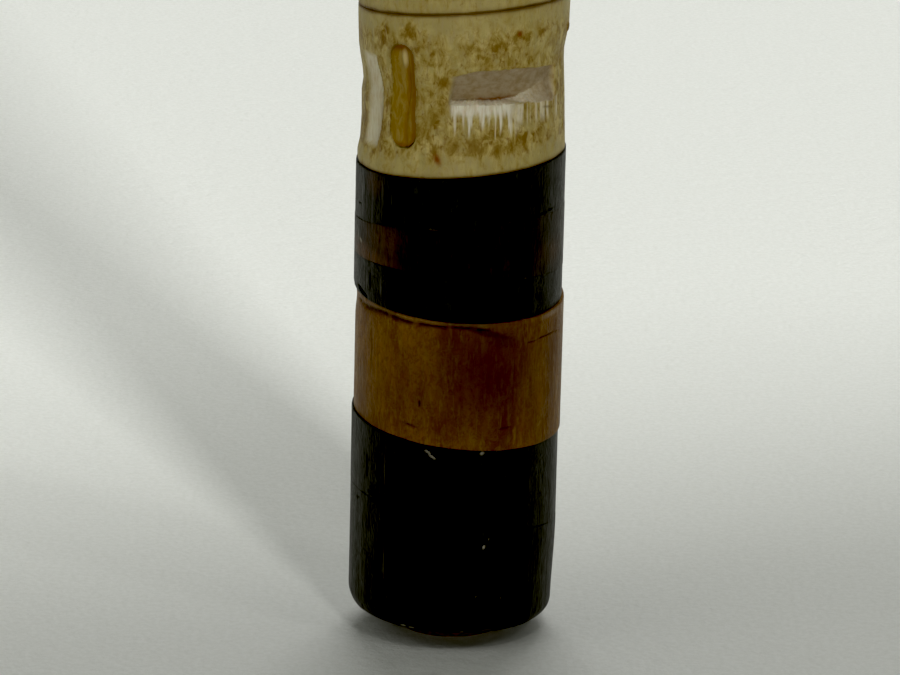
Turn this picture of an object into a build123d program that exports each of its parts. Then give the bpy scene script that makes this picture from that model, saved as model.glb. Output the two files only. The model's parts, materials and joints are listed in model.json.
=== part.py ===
from build123d import *
import math
import os

# A segmented walking stick, standing on its foot.
#
# Horn rings, a long row of drilled vertebra beads and a horn handle are
# threaded on one steel rod and drawn tight by a nut hidden in the foot.
# The origin is the middle of the face that the stick stands on, +Z runs up
# the rod, the handle points to +X and the seams' front is -Y.

# ---- driving dimensions, millimetres -------------------------------------
foot_diameter = 16.0
head_diameter = 22.0
rod_diameter = 4.0
rod_clearance = 0.2

# A seam is a flat saw cut across the stick: its height on the axis, then
# its slope towards +X and towards +Y in degrees.
tip_seam = (10.4, -9.5, -0.8)
amber_lower_seam = (17.0, -4.8, 3.8)
amber_upper_seam = (27.1, -2.4, 5.0)
brown_lower_seam = (29.65, -2.9, -1.9)
brown_upper_seam = (33.5, 4.5, -1.8)
foot_top_seam = (37.8, 4.7, 1.5)
first_joint_seam = (49.9, 4.7, -1.6)

# Foot: worn rim, plug that the stick stands on, and the nut's pocket.
rim_height = 1.3
rim_rounding = 1.0
pocket_diameter = 9.0
pocket_depth = 6.7
plug_diameter = 8.8
plug_height = 3.0
plug_chamfer = 0.4
nut_across_flats = 7.0
nut_height = 2.4
washer_diameter = 8.4
washer_thickness = 0.8

# Vertebra beads.
bead_count = 54
single_bead_count = 26
top_bead_pitch = 16.0
rim_share = 0.09
waist_depth_share = 0.055
joint_wobble = 1.2
wobble_rate_x = 1.9
wobble_rate_y = 1.3

# Oval slots: two pairs on each bead, one pair opposite the other.
pair_angle = -47.5
slot_spread = 12.0
slot_width_share = 0.145
slot_length_share = 0.65
slot_depth = 1.2
slot_wander = 7.0
slot_wander_rate = 2.4
resin_below_rim = 0.5

# Chisel cut across the first bead: its floor slopes in to a level ledge.
notch_angle = 27.0
notch_half_turn = 33.5
notch_ledge_height = 43.2
notch_top_height = 45.6
notch_ledge_depth = 1.3
notch_top_depth = 0.35

# Collar of horn rings under the handle, heights above the last bead.
collar_lower_seam = (7.0, 3.0, -1.0)
collar_upper_seam = (15.0, -3.0, 2.0)
collar_height = 22.0

# Handle: the axis rises, turns to +X and runs on with a slight fall.
handle_rise = 5.0
handle_bend_radius = 18.0
handle_arm_length = 70.0
handle_arm_fall = 12.0
handle_section_count = 15
handle_swell = 1.6
handle_taper = 2.0
handle_depth_swell = 0.08
bush_diameter = 8.0
bush_length = 12.0
rod_in_bush = 11.0
rod_relief = 4.0
nose_length = 8.0
nose_wall = 1.2
dowel_diameter = 3.0
dowel_length = 12.0
dowel_in_nose = 4.5
dowel_end_gap = 0.5

# ---- derived sizes ---------------------------------------------------------
bore_radius = rod_diameter / 2 + rod_clearance
foot_radius = foot_diameter / 2
head_radius = head_diameter / 2
seam_reach = 2.0
first_pitch = first_joint_seam[0] - foot_top_seam[0]
pitch_step = (top_bead_pitch - first_pitch) / (bead_count - 1)


def joint_height(joint):
    """Height on the axis of a bead joint, counted up from the foot's top."""
    return foot_top_seam[0] + joint * first_pitch + pitch_step * joint * (joint - 1) / 2


shaft_top = joint_height(bead_count)
handle_base = shaft_top + collar_height


def shaft_radius(height):
    """Rim radius: straight at the foot, then a steady taper to the head."""
    share = (height - first_joint_seam[0]) / (shaft_top - first_joint_seam[0])
    return foot_radius + (head_radius - foot_radius) * min(max(share, 0.0), 1.0)


def joint_seam(joint):
    """The cut at a bead joint. Most are nearly square, the lowest two lean."""
    if joint == 0:
        return foot_top_seam
    if joint == 1:
        return first_joint_seam
    if joint == bead_count:
        return (shaft_top, 0.0, 0.0)
    lean_x = joint_wobble * math.sin(wobble_rate_x * joint)
    lean_y = joint_wobble * math.cos(wobble_rate_y * joint)
    return (joint_height(joint), lean_x, lean_y)


def seam_height_at(seam, angle, radius):
    """Where a seam meets the stick's side; angle 0 is -Y, 90 is +X."""
    height, slope_x, slope_y = seam
    turn = math.radians(angle)
    climb_x = radius * math.sin(turn) * math.tan(math.radians(slope_x))
    climb_y = -radius * math.cos(turn) * math.tan(math.radians(slope_y))
    return height + climb_x + climb_y


def seam_plane(seam):
    """The plane of a seam, facing up."""
    height, slope_x, slope_y = seam
    up = Vector(-math.tan(math.radians(slope_x)), -math.tan(math.radians(slope_y)), 1.0)
    return Plane(origin=(0, 0, height), z_dir=up.normalized())


def upright_cylinder(radius, low, high):
    """A cylinder on the stick's axis between two heights."""
    return Pos(0, 0, low) * Cylinder(radius, high - low, align=(Align.CENTER, Align.CENTER, Align.MIN))


def between_seams(body, lower, upper):
    """The part of a body between two seams, drilled for the rod."""
    body = split(body, bisect_by=seam_plane(lower), keep=Keep.TOP)
    body = split(body, bisect_by=seam_plane(upper), keep=Keep.BOTTOM)
    drill = upright_cylinder(bore_radius, lower[0] - seam_reach, upper[0] + seam_reach)
    return body - drill


def horn_ring(radius, lower, upper):
    """A plain drilled ring of horn between two seams."""
    blank = upright_cylinder(radius, lower[0] - seam_reach, upper[0] + seam_reach)
    return between_seams(blank, lower, upper)


def outward_plane(angle, radius, height):
    """A plane facing out of the stick's side; angle 0 is -Y, 90 is +X."""
    turn = math.radians(angle)
    out = Vector(math.sin(turn), -math.cos(turn), 0)
    return Plane(origin=out * radius + Vector(0, 0, height), x_dir=(0, 0, 1), z_dir=out)


# ---- foot ------------------------------------------------------------------
def foot_tip():
    blank = upright_cylinder(foot_radius, rim_height, tip_seam[0] + seam_reach)
    blank = fillet(blank.edges().group_by(Axis.Z)[0], rim_rounding)
    blank = split(blank, bisect_by=seam_plane(tip_seam), keep=Keep.BOTTOM)
    pocket = upright_cylinder(pocket_diameter / 2, 0, pocket_depth)
    drill = upright_cylinder(bore_radius, 0, tip_seam[0] + seam_reach)
    return blank - pocket - drill


def foot_plug():
    plug = upright_cylinder(plug_diameter / 2, 0, plug_height)
    return chamfer(plug.edges().group_by(Axis.Z)[0], plug_chamfer)


def foot_nut():
    top = pocket_depth - washer_thickness
    hexagon = RegularPolygon(nut_across_flats / 2, 6, major_radius=False)
    nut = Pos(0, 0, top - nut_height) * extrude(hexagon, nut_height)
    return nut - upright_cylinder(rod_diameter / 2, 0, pocket_depth)


def foot_washer():
    bottom = pocket_depth - washer_thickness
    disc = upright_cylinder(washer_diameter / 2, bottom, pocket_depth)
    return disc - upright_cylinder(bore_radius, 0, pocket_depth)


def core_rod():
    low = plug_height + plug_chamfer
    rod = upright_cylinder(rod_diameter / 2, low, handle_base + rod_in_bush)
    return chamfer(rod.edges().filter_by(GeomType.CIRCLE), plug_chamfer)


# ---- vertebra beads ----------------------------------------------------------
def bead_slot_angles(bead):
    """Where a bead's four slots face; the pairs wander a little up the stick."""
    wander = slot_wander * math.sin(slot_wander_rate * bead)
    angles = []
    for pair in (pair_angle, pair_angle + 180.0):
        angles.append(pair + wander - slot_spread)
        angles.append(pair + wander + slot_spread)
    return angles


def slot_cutter(bead, angle):
    """A round-ended upright slot, standing from its floor to past the rim."""
    low = joint_height(bead)
    pitch = joint_height(bead + 1) - low
    radius = shaft_radius(low + pitch / 2)
    lower_edge = seam_height_at(joint_seam(bead), angle, radius)
    upper_edge = seam_height_at(joint_seam(bead + 1), angle, radius)
    floor = outward_plane(angle, radius - slot_depth, (lower_edge + upper_edge) / 2)
    outline = SlotOverall(slot_length_share * pitch, 2 * radius * slot_width_share)
    return extrude(floor * outline, slot_depth + seam_reach)


def notch_cutter():
    """A wedge that leaves a floor sloping in to a level ledge at its foot."""
    turn = math.radians(notch_angle)
    out = Vector(math.sin(turn), -math.cos(turn), 0)
    sideways = Vector(-math.cos(turn), -math.sin(turn), 0)
    clear = foot_radius + seam_reach
    outline = Polygon(
        (foot_radius - notch_ledge_depth, notch_ledge_height),
        (clear, notch_ledge_height),
        (clear, notch_top_height),
        (foot_radius - notch_top_depth, notch_top_height),
        align=None,
    )
    half_width = foot_radius * math.sin(math.radians(notch_half_turn))
    profile = Plane(origin=(0, 0, 0), x_dir=out, z_dir=sideways) * outline
    return extrude(profile, half_width, both=True)


def vertebra(bead):
    """One drilled bead: flared rims, a waist between them and four slots."""
    lower = joint_seam(bead)
    upper = joint_seam(bead + 1)
    pitch = upper[0] - lower[0]
    low_radius = shaft_radius(lower[0])
    high_radius = shaft_radius(upper[0])
    rim = rim_share * pitch
    waist_radius = (low_radius + high_radius) / 2 * (1 - waist_depth_share)
    bottom = lower[0] - seam_reach
    top = upper[0] + seam_reach
    with BuildPart() as blank:
        with BuildSketch(Plane.XZ):
            with BuildLine():
                Line((0, bottom), (low_radius, bottom))
                Line((low_radius, bottom), (low_radius, lower[0] + rim))
                ThreePointArc(
                    (low_radius, lower[0] + rim),
                    (waist_radius, lower[0] + pitch / 2),
                    (high_radius, upper[0] - rim),
                )
                Line((high_radius, upper[0] - rim), (high_radius, top))
                Line((high_radius, top), (0, top))
                Line((0, top), (0, bottom))
            make_face()
        revolve(axis=Axis.Z)
    body = between_seams(blank.part, lower, upper)
    for angle in bead_slot_angles(bead):
        body -= slot_cutter(bead, angle)
    if bead == 0:
        body -= notch_cutter()
    return body


def slot_resin():
    """Hard brown resin in the first bead's right-hand slot, set below the rim."""
    angle = bead_slot_angles(0)[1]
    fill = slot_cutter(0, angle)
    skin = upright_cylinder(foot_radius - resin_below_rim, foot_top_seam[0], first_joint_seam[0])
    return fill & skin


# ---- handle ------------------------------------------------------------------
def above_shaft(seam):
    """A collar seam, given above the last bead, as a seam of the stick."""
    return (shaft_top + seam[0], seam[1], seam[2])


def handle_path():
    """The handle's centre line: up, round the bend, then out along the arm."""
    start = (0, 0, handle_base)
    bend_start = (0, 0, handle_base + handle_rise)
    bend_turn = math.radians(90.0)
    reach = handle_bend_radius
    bend_middle = (
        reach * (1 - math.cos(bend_turn / 2)),
        0,
        handle_base + handle_rise + reach * math.sin(bend_turn / 2),
    )
    bend_end = (reach, 0, handle_base + handle_rise + reach)
    fall = math.radians(handle_arm_fall)
    arm_radius = handle_arm_length / fall
    arm_middle = (
        reach + arm_radius * math.sin(fall / 2),
        0,
        bend_end[2] - arm_radius * (1 - math.cos(fall / 2)),
    )
    arm_end = (
        reach + arm_radius * math.sin(fall),
        0,
        bend_end[2] - arm_radius * (1 - math.cos(fall)),
    )
    rise = Edge.make_line(start, bend_start)
    bend = Edge.make_three_point_arc(bend_start, bend_middle, bend_end)
    arm = Edge.make_three_point_arc(bend_end, arm_middle, arm_end)
    return Wire([rise, bend, arm])


def handle_plane(share):
    """The cross-section plane a share of the way along the handle."""
    path = handle_path()
    return Plane(origin=path @ share, x_dir=(0, 1, 0), z_dir=path % share)


def handle_half_width(share):
    return head_radius + handle_swell * math.sin(math.pi * share) - handle_taper * share


def handle():
    sections = []
    for index in range(handle_section_count):
        share = index / (handle_section_count - 1)
        half_width = handle_half_width(share)
        half_depth = half_width * (1 + handle_depth_swell * math.sin(math.pi * share))
        sections.append(handle_plane(share) * Ellipse(half_width, half_depth))
    grip = loft(sections)
    bush_hole = upright_cylinder(bush_diameter / 2, handle_base - 1, handle_base + bush_length)
    relief = upright_cylinder(bore_radius, handle_base, handle_base + bush_length + rod_relief)
    dowel_hole_depth = dowel_length - dowel_in_nose + dowel_end_gap
    dowel_hole = handle_plane(1.0).location * Cylinder(
        dowel_diameter / 2, dowel_hole_depth, align=(Align.CENTER, Align.CENTER, Align.MAX)
    )
    return grip - bush_hole - relief - dowel_hole


def handle_bush():
    bush = upright_cylinder(bush_diameter / 2, handle_base, handle_base + bush_length)
    return bush - upright_cylinder(rod_diameter / 2, handle_base, handle_base + bush_length)


def nose_cap():
    """The domed cap that closes the arm's end."""
    radius = handle_half_width(1.0)
    shoulder = (radius, nose_wall)
    crown = (0, nose_length)
    turn = math.radians(45.0)
    shoulder_point = (radius * math.sin(turn), nose_wall + (nose_length - nose_wall) * math.cos(turn))
    with BuildPart() as cap:
        with BuildSketch(Plane.XZ):
            with BuildLine():
                Line((0, 0), (radius, 0))
                Line((radius, 0), shoulder)
                Spline(shoulder, shoulder_point, crown, tangents=((0, 1), (-1, 0)))
                Line(crown, (0, 0))
            make_face()
        revolve(axis=Axis.Z)
    socket = Cylinder(dowel_diameter / 2, dowel_in_nose, align=(Align.CENTER, Align.CENTER, Align.MIN))
    return handle_plane(1.0).location * (cap.part - socket)


def nose_dowel():
    dowel = Pos(0, 0, dowel_in_nose) * Cylinder(
        dowel_diameter / 2, dowel_length, align=(Align.CENTER, Align.CENTER, Align.MAX)
    )
    return handle_plane(1.0).location * dowel


# ---- every node --------------------------------------------------------------
def bead_nodes():
    """The lower beads have a node each, the upper ones share one in pairs."""
    nodes = {}
    for bead in range(single_bead_count):
        nodes[f"vertebra_{bead + 1:02d}"] = vertebra(bead)
    for bead in range(single_bead_count, bead_count, 2):
        pair = Compound(children=[*vertebra(bead).solids(), *vertebra(bead + 1).solids()])
        nodes[f"vertebra_{bead + 1:02d}_{bead + 2:02d}"] = pair
    return nodes


def all_nodes():
    shaft_top_seam = joint_seam(bead_count)
    collar_lower = above_shaft(collar_lower_seam)
    collar_upper = above_shaft(collar_upper_seam)
    handle_seam = (handle_base, 0.0, 0.0)
    nodes = {
        "foot_plug": foot_plug(),
        "foot_nut": foot_nut(),
        "foot_washer": foot_washer(),
        "foot_tip": foot_tip(),
        "lower_black_ring": horn_ring(foot_radius, tip_seam, amber_lower_seam),
        "amber_ring": horn_ring(foot_radius, amber_lower_seam, amber_upper_seam),
        "middle_black_ring": horn_ring(foot_radius, amber_upper_seam, brown_lower_seam),
        "brown_ring": horn_ring(foot_radius, brown_lower_seam, brown_upper_seam),
        "upper_black_ring": horn_ring(foot_radius, brown_upper_seam, foot_top_seam),
        "core_rod": core_rod(),
        "slot_resin": slot_resin(),
        "collar_black_lower": horn_ring(head_radius, shaft_top_seam, collar_lower),
        "collar_amber": horn_ring(head_radius, collar_lower, collar_upper),
        "collar_black_upper": horn_ring(head_radius, collar_upper, handle_seam),
        "handle": handle(),
        "handle_bush": handle_bush(),
        "nose_cap": nose_cap(),
        "nose_dowel": nose_dowel(),
    }
    nodes.update(bead_nodes())
    return nodes


os.makedirs("parts", exist_ok=True)
for name, shape in all_nodes().items():
    export_step(shape, f"parts/{name}.step")
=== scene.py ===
"""Looks for the segmented walking stick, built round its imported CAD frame.

Lengths are millimetres and angles are degrees until a mesh is made: angle 0
faces the front (-Y), 90 faces +X. Layers are painted values at a mesh's points
that its material reads.
"""
import json
import math
from dataclasses import dataclass

import bpy
import numpy as np
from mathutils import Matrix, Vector
from mathutils.bvhtree import BVHTree

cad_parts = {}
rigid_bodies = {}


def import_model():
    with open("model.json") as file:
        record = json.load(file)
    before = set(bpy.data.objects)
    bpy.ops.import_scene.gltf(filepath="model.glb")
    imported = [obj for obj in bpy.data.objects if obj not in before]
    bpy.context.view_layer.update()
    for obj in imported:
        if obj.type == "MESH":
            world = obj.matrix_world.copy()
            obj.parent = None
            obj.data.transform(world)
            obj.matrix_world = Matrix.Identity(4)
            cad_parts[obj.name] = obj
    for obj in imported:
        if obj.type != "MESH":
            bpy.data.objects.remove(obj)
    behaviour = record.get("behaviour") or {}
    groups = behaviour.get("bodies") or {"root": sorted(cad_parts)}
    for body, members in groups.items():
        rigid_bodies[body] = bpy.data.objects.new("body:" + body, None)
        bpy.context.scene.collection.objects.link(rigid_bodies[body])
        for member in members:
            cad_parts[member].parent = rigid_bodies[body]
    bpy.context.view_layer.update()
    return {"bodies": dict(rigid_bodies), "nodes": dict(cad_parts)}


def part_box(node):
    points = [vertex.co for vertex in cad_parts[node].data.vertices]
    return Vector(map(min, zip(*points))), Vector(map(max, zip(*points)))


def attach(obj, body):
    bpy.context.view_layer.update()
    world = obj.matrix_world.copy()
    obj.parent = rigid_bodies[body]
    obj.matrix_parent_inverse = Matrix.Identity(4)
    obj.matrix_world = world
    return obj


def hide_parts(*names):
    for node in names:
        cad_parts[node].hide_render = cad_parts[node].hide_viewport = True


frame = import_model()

MM = 0.001
NODES = frame["nodes"]
BODY = next(iter(frame["bodies"]))


# ---- reading the frame ----
@dataclass
class Seam:
    """A flat cut across the stick: height on the axis, and its climb along X and Y."""

    height: float
    climb_x: float = 0.0
    climb_y: float = 0.0
    radius: float = 0.0

    def at(self, x, y):
        return self.height + self.climb_x * x + self.climb_y * y


def end_faces(node, side):
    """The seams that close a node's solids, lowest first; side is 1 for tops, -1 for bottoms."""
    mesh = NODES[node].data
    groups = {}
    for face in mesh.polygons:
        normal = face.normal
        if normal.z * side < 0.98:
            continue
        centre = face.center / MM
        climb_x = -normal.x / normal.z
        climb_y = -normal.y / normal.z
        height = centre.z - climb_x * centre.x - climb_y * centre.y
        radius = max(math.hypot(*mesh.vertices[v].co[:2]) for v in face.vertices) / MM
        group = groups.setdefault(round(height * 4), np.zeros(5))
        group[:4] += face.area * np.array([1.0, height, climb_x, climb_y])
        group[4] = max(group[4], radius)
    largest = max(group[0] for group in groups.values())
    seams = []
    for group in groups.values():
        if group[0] > 0.6 * largest:
            seams.append(Seam(*(group[1:4] / group[0]), group[4]))
    return sorted(seams, key=lambda seam: seam.height)


def node_top(node):
    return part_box(node)[1].z / MM


def node_radius(node):
    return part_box(node)[1].y / MM


ROD_CLEARANCE = 0.2
BORE = node_radius("core_rod") + ROD_CLEARANCE


# ---- smooth noise on the stick's side ----
def smooth(t):
    """An ease from 0 to 1 while t goes from 0 to 1."""
    t = np.clip(t, 0.0, 1.0)
    return t * t * (3 - 2 * t)


def fade(t):
    """An ease from 1 to 0 while t goes from 0 to 1."""
    return 1 - smooth(t)


def noise(angle, height, cells_round, cell_height, seed):
    """Smooth noise in 0..1 over degrees round the stick and mm along it."""
    rows = 97
    lattice = np.random.default_rng(seed).random((rows, cells_round))
    u = (angle / 360.0) % 1.0 * cells_round
    v = height / cell_height
    u0 = np.floor(u).astype(int)
    v0 = np.floor(v).astype(int)
    fu = smooth(u - u0)
    fv = smooth(v - v0)
    u0 = u0 % cells_round
    u1 = (u0 + 1) % cells_round
    low = lattice[v0 % rows, u0] * (1 - fu) + lattice[v0 % rows, u1] * fu
    high = lattice[(v0 + 1) % rows, u0] * (1 - fu) + lattice[(v0 + 1) % rows, u1] * fu
    return low * (1 - fv) + high * fv


def rough_noise(angle, height, cells_round, cell_height, seed, octaves=3):
    """Noise in about -1..1 with finer layers added."""
    total = 0.0
    for octave in range(octaves):
        scale = 2 ** octave
        layer = noise(angle, height, cells_round * scale, cell_height / scale, seed + octave)
        total = total + (layer * 2 - 1) / scale
    return total / 1.6


def round_from(centre, angle, radius):
    """How far an angle lies round the side from a centre angle, in mm, negative to its left."""
    return np.radians((angle - centre + 180.0) % 360.0 - 180.0) * radius


def rightness(angle):
    """0 at the stick's left edge, 1 at its right edge."""
    return 0.5 + 0.5 * np.sin(np.radians(angle))


@dataclass
class Mark:
    """A small feature on a side: an oval patch that may lean or bend, with a soft or hard edge."""

    angle: float
    height: float
    half_width: float
    half_height: float
    lean: float = 0.0
    edge: float = 0.5
    bend: float = 0.0

    def share(self, angle, height, radius):
        """1 in the middle of the mark, easing to 0 at its outline."""
        across = round_from(self.angle, angle, radius)
        along = height - self.height - self.lean * across - self.bend * across ** 2
        reach = np.hypot(across / self.half_width, along / self.half_height)
        return fade((reach - 1 + self.edge) / self.edge)


def painter(layer):
    """Marks of one layer: how strong their paint is, how far in they lie in mm, then a Mark's values."""
    return lambda strength, depth, *place, **form: (layer, strength, depth, Mark(*place, **form))


chip, stain, side_glow, painted_shade = (painter(layer) for layer in ("chip", "stain", "side_glow", "painted_shade"))


def paint(layers, name, amount):
    """Adds paint to a layer where there is less of it already."""
    layers[name] = np.maximum(layers.get(name, 0.0), amount)


# ---- turned pieces ----
CREASE_ANGLE = 48


def add_object(name, data):
    thing = bpy.data.objects.new(name, data)
    bpy.context.scene.collection.objects.link(thing)
    return thing


def make_piece(name, parts):
    """A smooth-shaded mesh object in metres from (points in mm, faces, layers) parts."""
    first = 0
    all_faces = []
    for points, faces, layers in parts:
        all_faces.append(faces + first)
        first += len(points)
    points = np.concatenate([part[0] for part in parts])
    faces = np.concatenate(all_faces)
    mesh = bpy.data.meshes.new(name)
    mesh.vertices.add(len(points))
    mesh.vertices.foreach_set("co", (points * MM).ravel())
    mesh.loops.add(faces.size)
    mesh.loops.foreach_set("vertex_index", faces.ravel())
    mesh.polygons.add(len(faces))
    mesh.polygons.foreach_set("loop_start", np.arange(0, faces.size, faces.shape[1]))
    mesh.update(calc_edges=True)
    mesh.polygons.foreach_set("use_smooth", np.ones(len(faces), bool))
    for label in parts[0][2]:
        values = np.concatenate([part[2][label] for part in parts])
        layer = mesh.attributes.new(label, "FLOAT", "POINT")
        layer.data.foreach_set("value", values.astype(np.float32))
    mesh.set_sharp_from_angle(angle=math.radians(CREASE_ANGLE))
    return add_object(name, mesh)


EDGE_STEPS = 4
EDGE_WEAR = 0.45
WORN_SPOTS_ROUND = 36


def turned(
    lower, upper, surface, columns, rows, round_low=0.12, round_high=0.12, seed=1,
    steps=EDGE_STEPS, inside=None, wear_low=EDGE_WEAR,
):
    """A drilled, closed part between two seams; surface(angle, height, share) says its radius and layers."""
    angle = np.linspace(-180.0, 180.0, columns, endpoint=False)
    low_turn = np.linspace(0, math.pi / 2, steps + 1)
    high_turn = np.linspace(math.pi / 2, 0, EDGE_STEPS + 1)
    share = np.concatenate([np.zeros(steps), np.linspace(0, 1, rows), np.ones(EDGE_STEPS)])
    from_low = np.concatenate([1 - np.cos(low_turn), np.ones(rows + EDGE_STEPS - 1)])
    from_high = np.concatenate([np.ones(rows + steps - 1), 1 - np.cos(high_turn)])
    inset = np.concatenate([1 - np.sin(low_turn), np.zeros(rows - 2), 1 - np.sin(high_turn)])
    grid_angle, grid_share = np.meshgrid(angle, share)
    sine = np.sin(np.radians(grid_angle))
    cosine = np.cos(np.radians(grid_angle))
    low_spots = rough_noise(angle, 0 * angle, WORN_SPOTS_ROUND, 1.0, seed + 50)
    high_spots = rough_noise(angle, 0 * angle, WORN_SPOTS_ROUND, 1.0, seed + 51)
    worn_low = round_low * (1 + wear_low * low_spots)
    worn_high = round_high * (1 + EDGE_WEAR * high_spots)
    radius = np.full_like(grid_angle, (lower.radius + upper.radius) / 2)
    for _ in range(2):
        x = radius * sine
        y = -radius * cosine
        low = lower.at(x, y) + worn_low * from_low[:, None]
        high = upper.at(x, y) - worn_high * from_high[:, None]
        height = low * (1 - grid_share) + high * grid_share
        radius, layers = surface(grid_angle, height, grid_share)
        radius = radius - inset[:, None] * np.where(grid_share < 0.5, worn_low, worn_high)
    x = radius * sine
    y = -radius * cosine
    rings = [np.stack([x, y, height], -1).reshape(-1, 3)]
    for inner_radius, seam in inside or ((BORE, upper), (BORE, lower)):
        inner_x = inner_radius * sine[0]
        inner_y = -inner_radius * cosine[0]
        rings.append(np.stack([inner_x, inner_y, seam.at(inner_x, inner_y)], -1))
    points = np.concatenate(rings)
    total = len(points) // columns
    row = np.arange(total)[:, None]
    column = np.arange(columns)[None, :]
    beside = (column + 1) % columns
    first = row * columns
    after = (row + 1) % total * columns
    corners = (first + column, first + beside, after + beside, after + column)
    faces = np.stack(corners, -1).reshape(-1, 4)
    hidden = np.zeros(len(points) - height.size)
    flat = {}
    for label, values in layers.items():
        flat[label] = np.concatenate([np.broadcast_to(values, height.shape).ravel(), hidden])
    return points, faces, flat


def adopt(piece, material, node):
    """Dress a new piece, let it stand for its CAD node and ride with the stick."""
    piece.data.materials.clear()
    piece.data.materials.append(material)
    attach(piece, BODY)
    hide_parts(node)


# ---- materials ----
def set_inputs(node, values):
    """Sets a shader node's sockets by name."""
    for name, value in values.items():
        node.inputs[name].default_value = value


class Shader:
    """A material's node tree with short calls for the nodes that are used here."""

    def __init__(self, name, grain_layer=None):
        self.material = bpy.data.materials.new(name)
        self.material.use_nodes = True
        self.tree = self.material.node_tree
        self.surface = self.tree.nodes["Principled BSDF"]
        if grain_layer:
            grain = self.add("Attribute")
            grain.attribute_name = grain_layer
            self.here = grain.outputs["Vector"]
        else:
            self.here = self.add("TexCoord").outputs["Object"]

    def add(self, kind):
        return self.tree.nodes.new("ShaderNode" + kind)

    def link(self, value, socket):
        if isinstance(value, bpy.types.NodeSocket):
            self.tree.links.new(value, socket)
        else:
            socket.default_value = value

    def noise(self, across, along, detail=3.0, rough=0.55, shift=0.0, warp=0.0):
        """Noise whose cells measure across by along in mm."""
        mapping = self.add("Mapping")
        cells = (1 / (across * MM), 1 / (across * MM), 1 / (along * MM))
        set_inputs(mapping, {"Location": (shift, shift * 1.7, shift * 0.6), "Scale": cells})
        self.link(self.here, mapping.inputs["Vector"])
        node = self.add("TexNoise")
        set_inputs(node, {"Scale": 1.0, "Detail": detail, "Roughness": rough, "Distortion": warp})
        self.link(mapping.outputs["Vector"], node.inputs["Vector"])
        return node.outputs["Fac"]

    def ease(self, value, low, high):
        """0 below low, 1 above high, and smooth between."""
        node = self.add("MapRange")
        node.interpolation_type = "SMOOTHSTEP"
        self.link(value, node.inputs["Value"])
        set_inputs(node, {"From Min": low, "From Max": high})
        return node.outputs["Result"]

    def math(self, operation, first, second=0.0):
        node = self.add("Math")
        node.operation = operation
        self.link(first, node.inputs[0])
        self.link(second, node.inputs[1])
        return node.outputs["Value"]

    def times(self, first, second):
        return self.math("MULTIPLY", first, second)

    def plus(self, first, second):
        return self.math("ADD", first, second)

    def mix(self, share, first, second):
        """Colour: first where share is 0, second where it is 1."""
        node = self.add("Mix")
        node.data_type = "RGBA"
        self.link(share, node.inputs["Factor"])
        for socket, value in ((node.inputs[6], first), (node.inputs[7], second)):
            self.link(value if isinstance(value, bpy.types.NodeSocket) else (*value, 1.0), socket)
        return node.outputs[2]

    def layer(self, name):
        node = self.add("Attribute")
        node.attribute_name = name
        return node.outputs["Fac"]

    def painted(self, colour, **tints):
        """A colour with a tint over it for each layer, in the order given."""
        for name, tint in tints.items():
            colour = self.mix(self.layer(name), colour, tint)
        return colour

    def bump(self, height, depth, under=None):
        node = self.add("Bump")
        set_inputs(node, {"Distance": abs(depth) * MM, "Strength": 1.0})
        node.invert = depth < 0
        self.link(height, node.inputs["Height"])
        if under is not None:
            self.link(under, node.inputs["Normal"])
        return node.outputs["Normal"]

    def finish(self, colour, roughness, normal=None, specular=0.5, subsurface=0.0):
        self.link(colour, self.surface.inputs["Base Color"])
        self.link(roughness, self.surface.inputs["Roughness"])
        set_inputs(self.surface, {
            "Specular IOR Level": specular,
            "Subsurface Weight": subsurface,
            "Subsurface Radius": (1.0, 0.4, 0.15),
            "Subsurface Scale": 1.5 * MM,
        })
        if normal is not None:
            self.link(normal, self.surface.inputs["Normal"])
        return self.material


def horn(name, dark, light, streak_tint, subsurface=0.0, mottle=0.5, grain=None):
    """Worn horn: soft upright streaks, pale fibre ridges with dark splits between them, fine crackle."""
    shade_red = (0.042, 0.0085, 0.0008)
    glow_brown = (0.120, 0.052, 0.019)
    bare_horn = (0.42, 0.39, 0.31)
    least_rough = 0.20
    s = Shader(name, grain)
    broad = s.ease(s.noise(2.6, 9.0, 4.0, 0.6, shift=3.0), 0.35, 0.68)
    ridges = s.noise(0.34, 1.9, 5.0, 0.66, shift=7.0, warp=1.1)
    grit = s.noise(0.34, 0.46, 4.0, 0.70, shift=12.0, warp=0.6)
    veins = s.math("ABSOLUTE", s.plus(s.noise(0.8, 0.9, 4.0, 0.6, shift=17.0, warp=0.9), -0.5))
    crackle = s.ease(veins, 0.070, 0.005)
    crackle = s.times(crackle, s.ease(s.noise(2.2, 3.0, 2.0, shift=21.0), 0.44, 0.60))
    colour = s.mix(s.times(broad, mottle), dark, light)
    colour = s.mix(s.times(s.ease(ridges, 0.47, 0.66), 0.75), colour, streak_tint)
    colour = s.mix(s.times(s.ease(grit, 0.44, 0.64), 0.65), colour, dark)
    colour = s.mix(s.times(crackle, 0.30), colour, streak_tint)
    # painted shade: the amber ring's front is painted a darker red
    colour = s.mix(s.layer("painted_shade"), colour, shade_red)
    # painted light: a warm-brown glow laid on the horn's sides, as if light showed through them
    glow = s.times(s.layer("side_glow"), s.ease(s.plus(s.times(ridges, 0.6), s.times(grit, 0.4)), 0.30, 0.58))
    colour = s.mix(glow, colour, glow_brown)
    # dark stains, and painted shade at the middle black ring's left edge
    colour = s.painted(colour, stain=tuple(c * 0.2 for c in dark), chip=bare_horn)
    files = s.noise(0.10, 3.5, 3.0, 0.6, shift=1.0)
    normal = s.bump(files, 0.008)
    normal = s.bump(ridges, 0.12, normal)
    normal = s.bump(grit, 0.09, normal)
    normal = s.bump(crackle, 0.02, normal)
    worn = s.times(s.noise(0.45, 1.2, 4.0, 0.65, shift=2.0), 0.36)
    return s.finish(colour, s.plus(worn, least_rough), normal, specular=0.13, subsurface=subsurface)


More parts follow.
